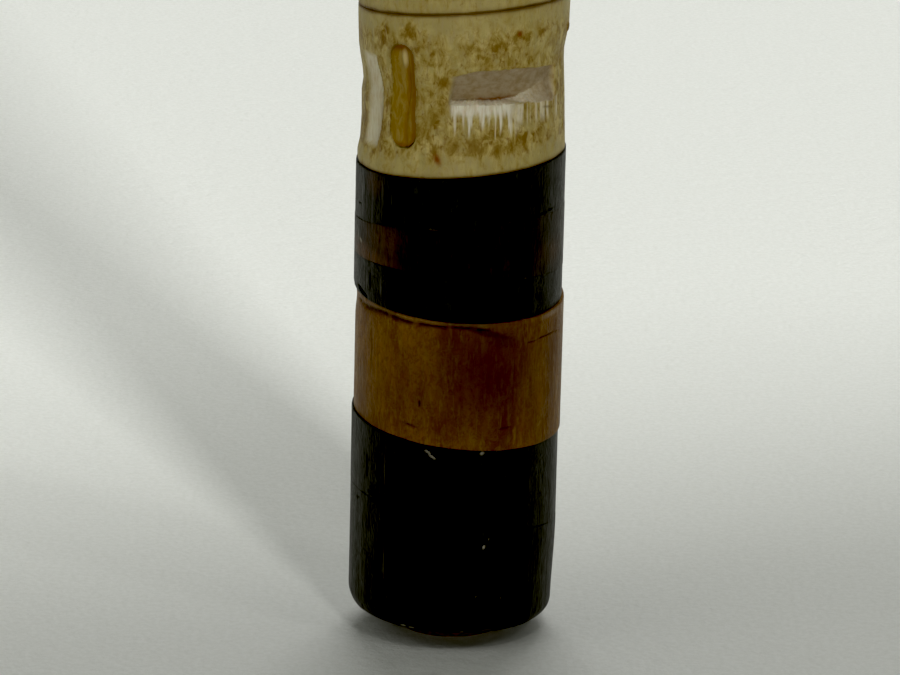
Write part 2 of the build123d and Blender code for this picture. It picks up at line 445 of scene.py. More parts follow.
def bone(name):
    """Vertebra bone: cream rims round a porous, olive-stained middle with upright grain."""
    s = Shader(name)
    cream = (0.40, 0.325, 0.120)
    straw = (0.68, 0.55, 0.215)
    olive = (0.36, 0.255, 0.055)
    brown = (0.21, 0.130, 0.022)
    umber = (0.20, 0.105, 0.014)
    grey = (0.40, 0.315, 0.155)
    dusty = (0.40, 0.315, 0.125)
    rust = (0.20, 0.050, 0.006)
    # colour of the dark layer: dirt in joints and slots, and painted shadow under the notch ledge and along
    # the flute's steep edge
    dirt_and_shade = (0.11, 0.050, 0.010)
    stained = s.layer("olive")
    cloud = s.ease(s.noise(1.1, 1.9, 4.0, 0.6, shift=1.0, warp=0.5), 0.36, 0.62)
    bright = s.times(cloud, s.plus(s.times(stained, 0.9), 0.25))
    colour = s.mix(s.math("MINIMUM", bright, 0.95), cream, straw)
    veil = s.ease(s.noise(2.1, 2.8, 4.0, 0.6, shift=11.0, warp=0.8), 0.44, 0.62)
    colour = s.mix(s.times(veil, 0.40), colour, dusty)
    fibres = s.noise(0.20, 1.3, 4.0, 0.62, shift=4.0)
    colour = s.mix(s.times(s.ease(fibres, 0.46, 0.74), 0.70), colour, grey)
    blotch_noise = s.noise(0.85, 1.25, 6.0, 0.68, shift=6.0, warp=0.8)
    blotched = s.plus(blotch_noise, s.times(stained, 0.24))
    colour = s.mix(s.times(s.ease(blotched, 0.46, 0.72), 0.85), colour, olive)
    colour = s.mix(s.times(s.ease(blotched, 0.60, 0.80), 0.80), colour, brown)
    pore_noise = s.noise(0.34, 0.60, 4.0, 0.62, shift=8.0, warp=0.6)
    pores = s.ease(s.plus(pore_noise, s.times(stained, 0.19)), 0.58, 0.82)
    colour = s.mix(s.times(pores, 0.85), colour, umber)
    splits = s.ease(fibres, 0.40, 0.26)
    colour = s.mix(s.times(splits, 0.45), colour, umber)
    # colour of the white layer: torn bone, and the painted highlight on the notch's left wall
    torn_bone_and_highlight = s.mix(s.ease(fibres, 0.40, 0.70), (0.80, 0.76, 0.60), (0.66, 0.56, 0.36))
    colour = s.mix(s.layer("white"), colour, torn_bone_and_highlight)
    smear = s.ease(s.noise(0.5, 0.35, 4.0, 0.6, shift=15.0), 0.35, 0.70)
    sawn = s.mix(smear, (0.41, 0.325, 0.21), (0.31, 0.225, 0.115))
    colour = s.painted(colour, grey=sawn, rust=rust, dark=dirt_and_shade)
    normal = s.bump(fibres, 0.05)
    normal = s.bump(blotch_noise, 0.07, normal)
    normal = s.bump(pore_noise, 0.05, normal)
    roughness = s.plus(s.times(s.noise(0.8, 1.5, 2.0), 0.2), 0.40)
    return s.finish(colour, roughness, normal, 0.25, 0.10)


def resin(name):
    """Hard brown resin: olive where it thins out, darker orange at the walls."""
    amber = (0.27, 0.155, 0.014)
    olive = (0.34, 0.235, 0.055)
    orange = (0.20, 0.075, 0.002)
    # painted highlight colour, carried by the white layer
    highlight_blob = (0.62, 0.50, 0.22)
    s = Shader(name)
    swirl = s.noise(0.45, 1.3, 4.0, 0.6, shift=2.0, warp=0.8)
    colour = s.painted(s.mix(s.ease(swirl, 0.38, 0.66), amber, olive), dark=orange, white=highlight_blob)
    return s.finish(colour, 0.5, s.bump(s.noise(0.3, 0.8, 4.0), 0.08), 0.2, 0.1)


def metal(name, colour, tint, roughness):
    s = Shader(name)
    mixed = s.mix(s.ease(s.noise(1.5, 1.5, 3.0), 0.4, 0.7), colour, tint)
    s.surface.inputs["Metallic"].default_value = 1.0
    return s.finish(mixed, roughness, s.bump(s.noise(4.0, 0.12, 2.0), 0.01))


def wood(name):
    s = Shader(name)
    rings = s.noise(0.35, 3.0, 3.0)
    colour = s.mix(s.ease(rings, 0.4, 0.65), (0.045, 0.022, 0.010), (0.10, 0.055, 0.025))
    return s.finish(colour, 0.7, s.bump(rings, 0.05))


# horn colours: dark, light, and the tint of its streaks
BLACK = ((0.0035, 0.0035, 0.0030), (0.0085, 0.0075, 0.0060), (0.029, 0.031, 0.034))
BROWN = ((0.0060, 0.0040, 0.0030), (0.018, 0.010, 0.006), (0.032, 0.024, 0.019))
AMBER = ((0.105, 0.036, 0.0025), (0.245, 0.114, 0.015), (0.25, 0.150, 0.040))
BLACK_HORN = horn("black_horn", *BLACK)
HANDLE_HORN = horn("handle_horn", *BLACK, grain="grain")
BROWN_HORN = horn("brown_horn", *BROWN)
AMBER_HORN = horn("amber_horn", *AMBER, subsurface=0.15, mottle=0.9)
CAP_HORN = horn("cap_horn", *AMBER, subsurface=0.15, mottle=0.9, grain="grain")
BONE = bone("vertebra_bone")
RESIN = resin("slot_resin")
STEEL = metal("rod_steel", (0.42, 0.42, 0.42), (0.30, 0.28, 0.26), 0.35)
BRASS = metal("brass", (0.62, 0.42, 0.16), (0.45, 0.28, 0.10), 0.35)
PLUG_WOOD = wood("plug_wood")


# ---- horn rings ----
FOOT_COLUMNS = 600
ROW = 0.1


LIP_DROP = 0.40


def horn_side(radius, ring_height, seed, shift=0.0, marks=(), nicks=0.2, lip=None):
    """A horn ring's side: a little out of round, filed in narrow flats, nicked along its seams. A lip is a
    ragged crack, given by its first and last angle, that runs below the upper seam."""

    def surface(angle, height, share):
        side = radius + shift * np.sin(np.radians(angle))
        side = side + 0.025 * rough_noise(angle, height, 5, 30.0, seed)
        side = side + 0.012 * rough_noise(angle, height, 70, 12.0, seed + 3)
        side = side + 0.030 * rough_noise(angle, height, 44, 16.0, seed + 9, octaves=2)
        to_seam = np.minimum(share, 1 - share)
        nick = smooth((noise(angle, height, 90, 0.6, seed + 5) - 0.88) / 0.1) * fade(to_seam / 0.03)
        side = side - 0.08 * nick
        none = np.zeros_like(angle)
        layers = {"chip": nicks * nick, "stain": none, "side_glow": none, "painted_shade": none}
        if lip:
            below = LIP_DROP * (0.6 + 0.8 * noise(angle, 0 * height, 24, 1.0, seed + 7))
            to_top = (1 - share) * ring_height
            ends = smooth((angle - lip[0]) / 12) * fade((angle - lip[1] + 12) / 12)
            ragged = 0.35 + 0.65 * smooth((noise(angle, height, 80, 1.0, seed + 8) - 0.2) / 0.3)
            width = 0.09 + 0.13 * smooth((angle - lip[0]) / 15) * fade((angle + 40) / 40)
            crack = ends * ragged * np.exp(-((to_top - below) / width) ** 2)
            side = side - 0.15 * crack
            paint(layers, "stain", 0.9 * crack)
            paint(layers, "chip", 0.10 * ends * ragged * fade((to_top - below + 0.20) / 0.10))
        for layer, strength, depth, mark in marks:
            amount = mark.share(angle, height, radius)
            side = side - depth * amount
            paint(layers, layer, strength * amount)
        return side, layers

    return surface


def dress_ring(
    node, material, slot_name, seed, columns=FOOT_COLUMNS, row=ROW, low=0.10, high=0.10, **shape,
):
    lower = end_faces(node, -1)[0]
    upper = end_faces(node, 1)[-1]
    ring_height = upper.height - lower.height
    surface = horn_side(lower.radius, ring_height, seed, **shape)
    part = turned(lower, upper, surface, columns, int(ring_height / row) + 2, low, high, seed=seed)
    adopt(make_piece(node + "_look", [part]), material, node)


TIGHT = 0.045
HAIRLINE = 0.014


def foot_rings():
    dress_ring("lower_black_ring", BLACK_HORN, "black_horn", 21, low=TIGHT, marks=(
        chip(1.0, 0.12, -14.6, 16.15, 0.28, 0.09, lean=-0.5),
        chip(1.0, 0.12, -12.0, 15.80, 0.32, 0.10, lean=-0.6),
        chip(0.7, 0.10, 15.4, 16.1, 0.22, 0.10),
        stain(0.9, 0.09, -37.0, 14.0, 0.12, 2.0, lean=0.4, edge=0.8),
        chip(0.12, 0.00, -41.5, 14.0, 0.08, 2.1, edge=0.9),
        stain(0.8, 0.06, -46.0, 14.6, 0.10, 1.3, lean=0.3, edge=0.8),
        chip(0.10, 0.00, -66.0, 14.6, 0.14, 1.8, edge=0.9),
        stain(0.8, 0.08, -56.0, 13.9, 0.10, 1.6, lean=-0.5, edge=0.8),
        stain(1.0, 0.14, -52, 11.9, 0.40, 0.14, lean=-0.2, edge=0.7),
        stain(0.8, 0.06, 40.0, 14.0, 0.10, 1.7, edge=0.8),
        chip(0.09, 0.00, 47.0, 13.2, 0.09, 1.5, edge=0.9),
    ))
    dress_ring("amber_ring", AMBER_HORN, "amber_horn", 22, shift=0.15, lip=(-80, 24), marks=(
        # painted shade: the first three marks darken the ring's front; the fourth only dents its side
        painted_shade(0.80, 0.00, 16, 22.6, 7.6, 9.0, edge=0.95),
        painted_shade(0.55, 0.00, 18, 24.0, 3.4, 2.6, edge=0.95),
        painted_shade(0.35, 0.00, -15, 21.0, 5.0, 6.0, edge=0.95),
        painted_shade(0.00, 0.10, -88, 26.4, 2.5, 1.4, edge=0.9),
        stain(0.75, 0.09, 55, 24.6, 2.6, 0.06, lean=0.04, bend=-0.02),
        stain(0.70, 0.06, 17, 25.6, 3.2, 0.40, lean=-0.32, edge=0.7),
        stain(0.45, 0.02, 26, 24.9, 1.6, 0.9, lean=-0.2, edge=0.9),
        stain(0.60, 0.06, -55, 23.2, 0.10, 2.3, lean=-1.0, edge=0.9),
        stain(0.45, 0.05, -49, 22.4, 0.09, 1.6, edge=0.9),
        stain(0.45, 0.03, 38, 22.0, 0.10, 2.0, edge=0.9),
        stain(0.35, 0.03, 33, 22.4, 0.10, 1.5, edge=0.9),
        stain(0.90, 0.08, -20, 19.9, 0.15, 0.33),
        stain(0.50, 0.08, -26, 18.1, 0.9, 0.10, lean=-0.15),
        stain(0.50, 0.06, 28, 18.0, 0.7, 0.14, lean=0.1),
        chip(0.25, 0.03, 62, 26.2, 2.0, 0.35, lean=0.05, edge=0.9),
    ))
    dress_ring("middle_black_ring", BLACK_HORN, "black_horn", 23, high=TIGHT, marks=(
        # painted shade: the first two marks lay near-black on a dent at the ring's left edge
        stain(1.0, 0.00, -87, 28.8, 0.9, 1.2, edge=0.3),
        stain(1.0, 0.38, -88, 27.40, 0.9, 0.22, edge=0.25),
        stain(0.9, 0.14, -66, 27.5, 1.3, 0.24, lean=-0.3, edge=0.6),
        chip(0.12, 0.00, -60, 28.5, 0.12, 0.9, lean=-0.8, edge=0.8),
        chip(0.12, 0.00, -47, 28.4, 0.12, 1.0, edge=0.8),
        stain(0.9, 0.08, -56, 28.6, 0.14, 1.0, edge=0.8),
    ))
    dress_ring("brown_ring", BROWN_HORN, "brown_horn", 24, low=TIGHT, high=HAIRLINE, marks=(
        # painted light: the first three marks lay a warm glow on the ring's left and right sides
        side_glow(0.75, 0.0, -62, 30.6, 5.6, 1.3, lean=-0.1, edge=0.9),
        side_glow(0.4, 0.0, -48, 32.0, 3.4, 2.4, edge=0.9),
        side_glow(0.25, 0.0, 62, 31.1, 2.6, 1.5, edge=0.8),
        chip(0.7, 0.05, -69, 31.4, 0.40, 0.24, lean=-0.4, edge=0.9),
        chip(0.25, 0.02, -73, 31.7, 0.30, 0.7, lean=0.6, edge=0.9),
    ))
    dress_ring("upper_black_ring", BLACK_HORN, "black_horn", 25, low=HAIRLINE, marks=(
        # painted light: the first mark lays a warm glow on the ring's left side
        side_glow(0.30, 0.0, -55, 36.3, 1.6, 1.6, edge=0.9),
        stain(0.90, 0.08, 55, 34.4, 1.2, 0.05, lean=0.1),
        stain(0.95, 0.09, -71, 34.2, 0.75, 0.07, lean=-0.05, edge=0.7),
        stain(0.80, 0.07, -44, 36.0, 0.10, 1.6, lean=0.6, edge=0.8),
        chip(0.10, 0.00, -47, 36.0, 0.08, 1.5, lean=0.6, edge=0.9),
    ))


# ---- foot tip ----
TIP_TAPER = 0.28
TAPER_TOP = 9.0
TAPER_LENGTH = 8.0


def foot_tip():
    """The lowest horn piece: a worn round rim that stands clear of the floor on its plug."""
    node = "foot_tip"
    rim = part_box(node)[0].z / MM
    upper = end_faces(node, 1)[-1]
    radius = upper.radius
    lower = Seam(rim, 0.0, 0.0, radius)
    pocket_top = Seam(node_top("foot_washer"))
    pocket_radius = node_radius("foot_plug") + 0.1
    inside = ((BORE, upper), (BORE, pocket_top), (pocket_radius, pocket_top), (pocket_radius, lower))
    angle = np.linspace(-180.0, 180.0, FOOT_COLUMNS, endpoint=False)
    rounding = 1.35 - 0.40 * np.sin(np.radians(angle)) + 0.10 * rough_noise(angle, 0 * angle, 9, 1.0, 31)
    surface = horn_side(radius, upper.height - rim, 32, nicks=0.0, marks=(
        chip(1.0, 0.05, -29, 1.75, 0.30, 0.10, lean=-0.10),
        chip(0.9, 0.05, -24, 1.68, 0.36, 0.09, lean=-0.05),
        stain(1.0, 0.14, -49, 11.45, 0.55, 0.20, lean=-0.2, edge=0.7),
        stain(0.9, 0.08, -66, 11.0, 0.50, 0.12, lean=0.2, edge=0.8),
        chip(0.16, 0.04, -74, 10.5, 0.60, 0.09, lean=0.7, edge=0.8),
        stain(0.9, 0.09, -45, 6.6, 0.16, 2.4, lean=0.3, edge=0.8),
        chip(0.12, 0.00, -41.0, 6.4, 0.08, 2.6, edge=0.9),
        chip(0.10, 0.00, -62.0, 5.4, 0.12, 2.6, lean=0.4, edge=0.9),
        stain(0.8, 0.07, -54.0, 4.4, 0.12, 1.9, lean=-0.5, edge=0.8),
        stain(0.8, 0.06, 44.0, 6.0, 0.12, 2.2, edge=0.8),
        chip(0.7, 0.05, 7, 1.60, 0.22, 0.07),
        chip(0.3, 0.03, 22, 1.65, 0.8, 0.05),
        chip(0.9, 0.08, 17.8, 8.6, 0.13, 0.18, lean=0.5),
        chip(0.3, 0.03, 20.5, 9.2, 0.08, 0.10),
        chip(0.12, 0.02, 14, 4.6, 0.10, 0.14),
        chip(0.12, 0.02, 29, 4.3, 0.12, 0.14),
    ))

    def drawn_in(angle, height, share):
        side, layers = surface(angle, height, share)
        taper = TIP_TAPER * rightness(angle) * smooth((TAPER_TOP - height) / TAPER_LENGTH)
        return side - taper, layers

    part = turned(
        lower, upper, drawn_in, FOOT_COLUMNS, 90, rounding, TIGHT, seed=33,
        steps=14, inside=inside, wear_low=0.05,
    )
    adopt(make_piece(node + "_look", [part]), BLACK_HORN, node)


# ---- vertebra beads ----
PAIR_ANGLE = -47.5
SLOT_SPREAD = 12.0
SLOT_WIDTH_SHARE = 0.145
SLOT_LENGTH_SHARE = 0.65
SLOT_DEPTH = 1.2
SLOT_WANDER = 7.0
SLOT_WANDER_RATE = 2.4
RESIN_HALF_WIDTH = 1.15
RESIN_TAPER = 0.12
RESIN_BACK_WIDTH = 0.74
RESIN_BACK_LENGTH = 0.93
RIM_SHARE = 0.09
WAIST_SHARE = 0.055


def slot_angles(bead):
    """Where a bead's four slots face; the pairs wander a little up the stick."""
    wander = SLOT_WANDER * math.sin(SLOT_WANDER_RATE * bead) if bead else 0.0
    angles = []
    for pair in (PAIR_ANGLE, PAIR_ANGLE + 180.0):
        angles.append(pair + wander - SLOT_SPREAD)
        angles.append(pair + wander + SLOT_SPREAD)
    return angles


def resin_half_width(along, half_length):
    """Half the filled slot's width, a little narrower towards its top."""
    return RESIN_HALF_WIDTH * (1 - RESIN_TAPER * np.clip(along / half_length, -1, 1))


def resin_wander(angle, height):
    """How far the filled slot's edges stray sideways."""
    return 0.09 * rough_noise(angle, height, 50, 1.2, 87)


def stadium(across, along, half_width, half_length, edge):
    """1 inside a round-ended upright outline, easing to 0 over its wall."""
    beyond = np.maximum(np.abs(along) - (half_length - half_width), 0.0)
    return fade((np.hypot(across, beyond) - half_width + edge) / edge)


def bead_layers(angle, height, share, seed):
    """Paint common to every bead: clean rims, porous middle, dark grime in the joints."""
    to_rim = np.minimum(share, 1 - share)
    olive = smooth((to_rim - 0.06) / 0.10)
    olive = olive * (0.35 + 0.65 * noise(angle, height, 14, 3.0, seed + 7))
    dark = 0.85 * fade(to_rim / 0.014)
    dark = np.maximum(dark, 0.35 * fade(to_rim / 0.035) * noise(angle, height, 40, 1.0, seed + 8))
    zero = np.zeros_like(angle)
    return {"olive": olive, "dark": dark, "white": zero, "grey": zero, "rust": zero}


def bead_relief(angle, height, seed):
    """Small ups and downs: out of round, upright flutes and shallow pits."""
    relief = 0.03 * rough_noise(angle, height, 6, 9.0, seed)
    relief = relief + 0.03 * rough_noise(angle, height, 60, 4.0, seed + 1)
    pits = smooth((noise(angle, height, 90, 0.8, seed + 2) - 0.78) / 0.15)
    return relief - 0.05 * pits


def plain_bead(bead, lower, upper):
    """The side of an ordinary bead: flared rims, a waist and four open slots."""
    span = upper.height - lower.height
    middle_radius = (lower.radius + upper.radius) / 2

    def surface(angle, height, share):
        side = lower.radius + (upper.radius - lower.radius) * share
        hollow = np.clip((share - RIM_SHARE) / (1 - 2 * RIM_SHARE), 0, 1) * 2 - 1
        side = side - WAIST_SHARE * middle_radius * (1 - hollow ** 2)
        side = side + bead_relief(angle, height, 100 + bead)
        layers = bead_layers(angle, height, share, 300 + bead)
        for centre in slot_angles(bead):
            across = round_from(centre, angle, middle_radius)
            along = (share - 0.5) * span
            half_length = SLOT_LENGTH_SHARE * span / 2
            slot = stadium(across, along, middle_radius * SLOT_WIDTH_SHARE, half_length, 0.35)
            floor = middle_radius - SLOT_DEPTH
            side = side * (1 - slot) + np.minimum(side, floor + 0.15 * across ** 2) * slot
            paint(layers, "dark", 0.75 * slot)
        return side, layers

    return surface


NOTCH_LEFT = -8.0
NOTCH_RIGHT = 64.5
NOTCH_TOP = 45.75
NOTCH_LEDGE = 43.2


def cut_notch(angle, height, side, layers):
    """The chisel cut: a grey floor that dips inwards as it runs down to a bright ledge, with a slanting
    facet where the ledge widens at its right end."""
    ragged = 0.09 * rough_noise(angle, 0 * height, 90, 1.0, 71)
    run = (angle - NOTCH_LEFT) / (NOTCH_RIGHT - NOTCH_LEFT)
    top = NOTCH_TOP - 0.45 * fade(run / 0.25) - 0.25 * smooth((run - 0.5) / 0.5) + 0.5 * ragged
    opening = smooth((run - 0.53) / 0.40)
    outer = 43.15 - 0.35 * opening + ragged
    inner = outer + 0.12 + 1.45 * opening
    deepest = 1.25 * smooth((run + 0.30) / 0.45) * (1 - 0.55 * smooth((run - 0.55) / 0.45))
    shallowest = 0.10 + 0.30 * smooth((run - 0.2) / 0.3)
    fall = np.clip((top - height) / (top - NOTCH_LEDGE), 0, 1)
    depth = shallowest + (deepest - shallowest) * fall + 0.02 * rough_noise(angle, height, 60, 0.8, 73)
    reach = smooth((angle - NOTCH_LEFT) / (0.8 + 5.0 * (1 - fall))) * fade((run - 0.97) / 0.03)
    below_top = fade((height - top + 0.06) / 0.10)
    above = np.clip((height - outer) / (inner - outer), 0, 1)
    inside = reach * below_top * smooth((height - outer) / 0.08)
    side = side - depth * reach * below_top * above
    ledge = inside * fade((height - inner) / 0.05)
    for name in ("olive", "dark", "rust"):
        layers[name] = layers[name] * (1 - inside)
    paint(layers, "grey", inside)
    rim = inside * fade((height - outer - 0.10) / 0.08)
    paint(layers, "white", np.maximum(ledge * (1 - 0.45 * opening), 0.9 * rim))
    layers["grey"] = layers["grey"] * (1 - ledge * (1 - opening))
    crevice = inside * np.exp(-((height - inner - 0.10) / 0.13) ** 2) * smooth((run - 0.2) / 0.1)
    crevice = crevice * fade((run - 0.55) / 0.1) * (0.3 + 0.9 * noise(angle, height, 70, 1.0, 75))
    paint(layers, "rust", 0.9 * np.clip(crevice, 0, 0.9))
    upper_shade = inside * smooth((run - 0.25) / 0.1) * smooth((height - 44.55 - 0.5 * run) / 0.3)
    paint(layers, "olive", 0.9 * upper_shade)
    # painted highlight: the notch's left end wall is painted white
    narrowing = 1.6 - 1.2 * smooth((height - NOTCH_LEDGE) / 1.3)
    highlight_left_wall = inside * fade((angle - NOTCH_LEFT - narrowing) / 0.8) * fade((height - 44.4) / 0.3)
    paint(layers, "white", 0.7 * highlight_left_wall)
    return side


TORN_RIGHT = 24.0


def broken_fibres(angle, height, side, layers):
    """White broken bone under the notch that runs out downwards in upright streaks."""
    across = smooth((angle - NOTCH_LEFT) / 4) * fade((angle - TORN_RIGHT) / 14)
    streak = 0.55 * noise(angle, height, 210, 6.0, 81) + 0.45 * noise(angle, height, 430, 5.0, 83)
    drop = 42.0 - 2.0 * smooth((streak - 0.30) / 0.4) * (0.4 + 0.6 * noise(angle, 0 * height, 60, 1.0, 82))
    run_out = smooth((height - drop) / 0.9) * fade((height - 43.25) / 0.08)
    crown = smooth((height - 41.9) / 0.6)
    white = across * run_out * np.clip(0.25 + 0.75 * np.maximum(smooth((streak - 0.25) / 0.4), crown), 0, 1)
    paint(layers, "white", white)
    layers["olive"] = layers["olive"] * (1 - 0.8 * white)
    right = smooth((angle - TORN_RIGHT) / 8) * fade((angle - 66) / 6) * smooth((height - 41.2) / 0.8)
    right = right * fade((height - 43.0) / 0.1)
    paint(layers, "white", 0.60 * right * smooth((streak - 0.50) / 0.15))
    paint(layers, "dark", 0.40 * right * smooth((0.40 - streak) / 0.15))
    # painted shadow below the right end of the ledge
    shadow_under_ledge = Mark(55, 42.45, 0.7, 0.16, lean=-0.15, edge=0.8).share(angle, height, side)
    paint(layers, "dark", 0.6 * shadow_under_ledge)
    flutes = (across * run_out + 0.8 * right) * (1 - streak)
    return side - 0.16 * flutes


STAINS = [
    Mark(angle, height, half_width, half_height, lean, edge=0.95)
    for angle, height, half_width, half_height, lean in (
        (-30, 48.0, 1.5, 0.9, 0.0), (6, 47.6, 2.2, 1.0, 0.0), (24, 47.3, 1.4, 0.9, 0.2),
        (33, 48.2, 1.2, 1.0, 0.0), (48, 48.3, 1.3, 1.0, 0.3), (58, 48.2, 0.6, 1.1, 0.5),
        (12, 46.6, 2.0, 0.9, -0.1), (22, 46.8, 1.6, 0.9, 0.0), (-18, 46.9, 0.8, 1.4, 0.3),
        (-14, 44.9, 1.1, 1.8, 0.0), (-10, 41.6, 1.3, 0.8, 0.4), (-13, 39.6, 1.3, 1.5, 0.0),
        (3, 39.8, 1.3, 1.3, 0.2), (18, 39.8, 1.4, 1.1, -0.3), (34, 40.3, 1.1, 1.4, 0.5),
        (45, 40.6, 0.6, 1.1, 0.0), (52, 41.2, 0.9, 1.1, 0.6), (-51, 47.6, 0.7, 1.1, 0.2),
        (-40, 47.9, 0.6, 1.1, 0.0), (-48, 48.6, 1.3, 0.7, 0.0), (-60, 39.0, 1.3, 0.8, 0.0),
        (-46, 39.0, 1.7, 0.8, 0.2), (-44, 43.5, 0.7, 4.5, 0.0), (-72, 41.0, 1.3, 1.8, 0.0),
    )
]
RUST_SPECKS = (
    Mark(-13.3, 38.95, 0.52, 0.62, lean=-0.6, edge=0.95),
    Mark(31.5, 48.5, 0.42, 0.40, edge=0.95),
)


FLUTE_ANGLE = -51.0
FLUTE_MIDDLE = 42.5
FLUTE_HALF_LENGTH = 3.75
FLUTE_DEPTH = 0.80


def left_flute(angle, height, side, layers):
    """A pale lens-shaped scoop beside the slots: steep on its right, running out on its left."""
    across = round_from(FLUTE_ANGLE, angle, side)
    along = (height - FLUTE_MIDDLE) / FLUTE_HALF_LENGTH
    ragged = 0.05 * rough_noise(angle, height, 60, 1.5, 85)
    inwards = -0.80 * along ** 2 + ragged - across
    within = smooth(inwards / 0.12) * fade((np.abs(along) - 0.85) / 0.15)
    run_out = fade(inwards / 3.0)
    scoop = within * run_out
    paint(layers, "white", 0.66 * within * fade((inwards - 1.8) / 0.9))
    layers["olive"] = layers["olive"] * (1 - within * fade((inwards - 1.8) / 0.8))
    # painted shadow: a dark line along the scoop's steep right edge
    lip = np.exp(-((inwards + 0.06) / 0.10) ** 2) * fade((np.abs(along) - 0.8) / 0.2)
    paint(layers, "dark", 0.35 * lip)
    return side - FLUTE_DEPTH * scoop * (1 - 0.5 * along ** 2)


# how far the first bead's side lies inside its rims: (height, inset)
LEFT_PROFILE = (
    (37.9, 0.12), (38.8, 0.31), (40.7, 0.41), (42.6, 0.37), (43.5, 0.48), (44.4, 0.39),
    (45.4, 0.20), (46.3, 0.08), (48.5, 0.02),
)
RIGHT_PROFILE = (
    (37.9, 0.08), (41.0, 0.19), (43.5, 0.28), (45.4, 0.37), (46.2, 0.36), (48.0, 0.04), (49.9, 0.0),
)


def first_bead_inset(angle, height):
    """How far the first bead's side lies inside its rims: hollow on the left, less so on the right."""
    share = rightness(angle)
    left = np.interp(height, *zip(*LEFT_PROFILE))
    right = np.interp(height, *zip(*RIGHT_PROFILE))
    return left * (1 - share) + right * share


# the first bead's slots: (height of the middle, half length)
RESIN_SLOT = (43.4, 4.0)
BACK_SLOT = (43.6, 3.9)


def first_bead(lower):
    """The lowest bead, with one slot at the front and two at the back, the notch and the broken bone below
    it.
    """
    _, resin_angle, *back_pair = slot_angles(0)
    slots = [(resin_angle, *RESIN_SLOT)] + [(back, *BACK_SLOT) for back in back_pair]

    def surface(angle, height, share):
        side = lower.radius - first_bead_inset(angle, height) + bead_relief(angle, height, 61)
        layers = bead_layers(angle, height, share, 62)
        layers["olive"] = layers["olive"] * 0.62
        broken = 0.45 + 0.85 * noise(angle, height, 64, 0.7, 63)
        drift_angle = angle + 7.0 * rough_noise(angle, height, 30, 1.4, 64)
        drift_height = height + 0.8 * rough_noise(angle, height, 36, 1.2, 68)
        layers["olive"] = layers["olive"] + 0.30 * np.exp(-((height - 40.1) / 0.8) ** 2) * broken
        for patch in STAINS:
            paint(layers, "olive", broken * patch.share(drift_angle, drift_height, lower.radius))
        for speck in RUST_SPECKS:
            paint(layers, "rust", speck.share(angle, height, lower.radius))
        side = left_flute(angle, height, side, layers)
        side = broken_fibres(angle, height, side, layers)
        side = cut_notch(angle, height, side, layers)
        for centre, middle, half_length in slots:
            across = round_from(centre, angle, lower.radius) + resin_wander(angle, height)
            half_width = resin_half_width(height - middle, half_length)
            slot = stadium(across, height - middle, half_width + 0.02, half_length, 0.22)
            side = side - SLOT_DEPTH * slot
            wider = stadium(across, height - middle, half_width + 0.45, half_length + 0.4, 0.7)
            outline = wider * (1 - slot)
            above = smooth((height - middle - 2.2) / 1.6)
            paint(layers, "dark", outline * 0.9 * np.maximum(0.6 * smooth(across / 0.9), above))
            paint(layers, "olive", 1.2 * outline * smooth(-across / 0.6))
            paint(layers, "dark", 0.35 * slot * smooth((across + 0.3) / 0.6))
        ridge = Mark(79, 48.0, 0.35, 0.5).share(angle, height, lower.radius)
        side = side + 0.12 * ridge
        paint(layers, "dark", 0.7 * ridge)
        return side, layers

    return surface


# columns and rows of a bead's side
FIRST_GRID = (640, 138)
SECOND_GRID = (480, 110)
FAR_GRID = (168, 42)


def dress_beads():
    names = sorted(name for name in NODES if name.startswith("vertebra_"))
    bead = 0
    for node in names:
        parts = []
        for lower, upper in zip(end_faces(node, -1), end_faces(node, 1)):
            if bead == 0:
                surface = first_bead(lower)
                shape = (*FIRST_GRID, 0.10, 0.12)
            else:
                surface = plain_bead(bead, lower, upper)
                shape = (*SECOND_GRID, 0.12, 0.12) if bead == 1 else (*FAR_GRID, 0.2, 0.2)
            parts.append(turned(lower, upper, surface, *shape, seed=60 + bead))
            bead += 1
        adopt(make_piece(node + "_look", parts), BONE, node)


